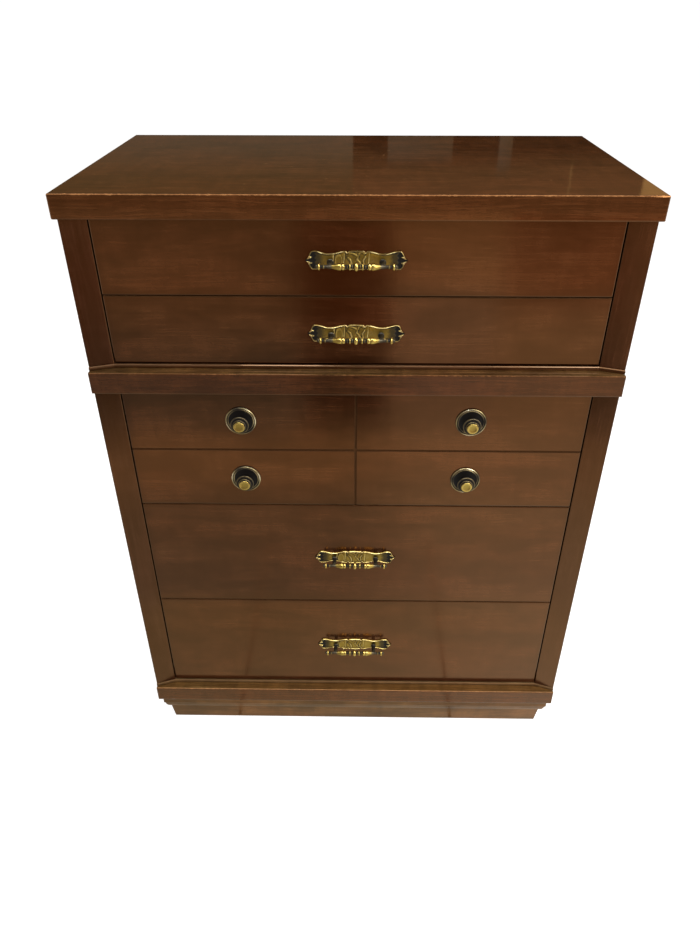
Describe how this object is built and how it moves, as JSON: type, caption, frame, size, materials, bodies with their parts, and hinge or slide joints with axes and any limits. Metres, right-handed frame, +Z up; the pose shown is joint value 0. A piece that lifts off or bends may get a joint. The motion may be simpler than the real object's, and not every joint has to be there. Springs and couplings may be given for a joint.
{
  "type": "tallboy",
  "caption": "Tall wooden chest of drawers with a moulded rail across the front, canted stiles, a stepped skirt, and antique brass bar pulls and stepped knobs.",
  "frame": {"origin": "centre of the chest's outline, pulls included, at the floor", "axes": "+Z up, -Y out of the drawer fronts, +X to the right of someone who faces the drawers"},
  "size_m": [0.866, 0.4918, 1.15],
  "materials": {
    "top_veneer": "glossy lacquered walnut veneer",
    "front_veneer": "semi-gloss lacquered walnut veneer",
    "stile_wood": "semi-gloss dark stained wood",
    "rail_wood": "semi-gloss stained wood",
    "skirt_wood": "satin stained wood",
    "side_veneer": "satin lacquered walnut veneer",
    "drawer_wood": "plain sanded hardwood",
    "case_wood": "plain unfinished wood",
    "back_board": "plain unfinished plywood",
    "antique_brass": "worn antique brass",
    "dark_brass": "blackened antique brass with bright rims"
  },
  "bodies": {
    "case": {"top_panel": "top_veneer", "side_panel_left": "side_veneer", "side_panel_right": "side_veneer", "back_panel": "back_board", "dust_board_upper": "case_wood", "mid_shelf": "case_wood", "dust_board_middle": "case_wood", "dust_board_lower": "case_wood", "case_bottom": "case_wood", "stile_upper_left": "stile_wood", "stile_upper_right": "stile_wood", "stile_lower_left": "stile_wood", "stile_lower_right": "stile_wood", "mid_rail": "rail_wood", "base_rail": "rail_wood", "skirt_front": "skirt_wood", "skirt_left": "skirt_wood", "skirt_right": "skirt_wood", "skirt_back": "case_wood"},
    "top_drawer": {"top_drawer_front": "front_veneer", "top_drawer_side_left": "drawer_wood", "top_drawer_side_right": "drawer_wood", "top_drawer_back": "drawer_wood", "top_drawer_bottom": "drawer_wood", "top_drawer_pull_plate": "dark_brass", "top_drawer_pull_bar": "antique_brass"},
    "second_drawer": {"second_drawer_front": "front_veneer", "second_drawer_side_left": "drawer_wood", "second_drawer_side_right": "drawer_wood", "second_drawer_back": "drawer_wood", "second_drawer_bottom": "drawer_wood", "second_drawer_pull_plate": "dark_brass", "second_drawer_pull_bar": "antique_brass"},
    "third_drawer": {"third_drawer_front": "front_veneer", "third_drawer_side_left": "drawer_wood", "third_drawer_side_right": "drawer_wood", "third_drawer_back": "drawer_wood", "third_drawer_bottom": "drawer_wood", "knob_upper_left": "antique_brass", "knob_upper_left_plate": "dark_brass", "knob_upper_right": "antique_brass", "knob_upper_right_plate": "dark_brass", "knob_lower_left": "antique_brass", "knob_lower_left_plate": "dark_brass", "knob_lower_right": "antique_brass", "knob_lower_right_plate": "dark_brass"},
    "fourth_drawer": {"fourth_drawer_front": "front_veneer", "fourth_drawer_side_left": "drawer_wood", "fourth_drawer_side_right": "drawer_wood", "fourth_drawer_back": "drawer_wood", "fourth_drawer_bottom": "drawer_wood", "fourth_drawer_pull_plate": "dark_brass", "fourth_drawer_pull_bar": "antique_brass"},
    "bottom_drawer": {"bottom_drawer_front": "front_veneer", "bottom_drawer_side_left": "drawer_wood", "bottom_drawer_side_right": "drawer_wood", "bottom_drawer_back": "drawer_wood", "bottom_drawer_bottom": "drawer_wood", "bottom_drawer_pull_plate": "dark_brass", "bottom_drawer_pull_bar": "antique_brass"}
  },
  "joints": [
    {"name": "top_drawer_slide", "type": "slide", "parent": "case", "child": "top_drawer", "axis": [0, -1, 0], "range_m": [0, 0.3]},
    {"name": "second_drawer_slide", "type": "slide", "parent": "case", "child": "second_drawer", "axis": [0, -1, 0], "range_m": [0, 0.3]},
    {"name": "third_drawer_slide", "type": "slide", "parent": "case", "child": "third_drawer", "axis": [0, -1, 0], "range_m": [0, 0.3]},
    {"name": "fourth_drawer_slide", "type": "slide", "parent": "case", "child": "fourth_drawer", "axis": [0, -1, 0], "range_m": [0, 0.3]},
    {"name": "bottom_drawer_slide", "type": "slide", "parent": "case", "child": "bottom_drawer", "axis": [0, -1, 0], "range_m": [0, 0.3]}
  ]
}
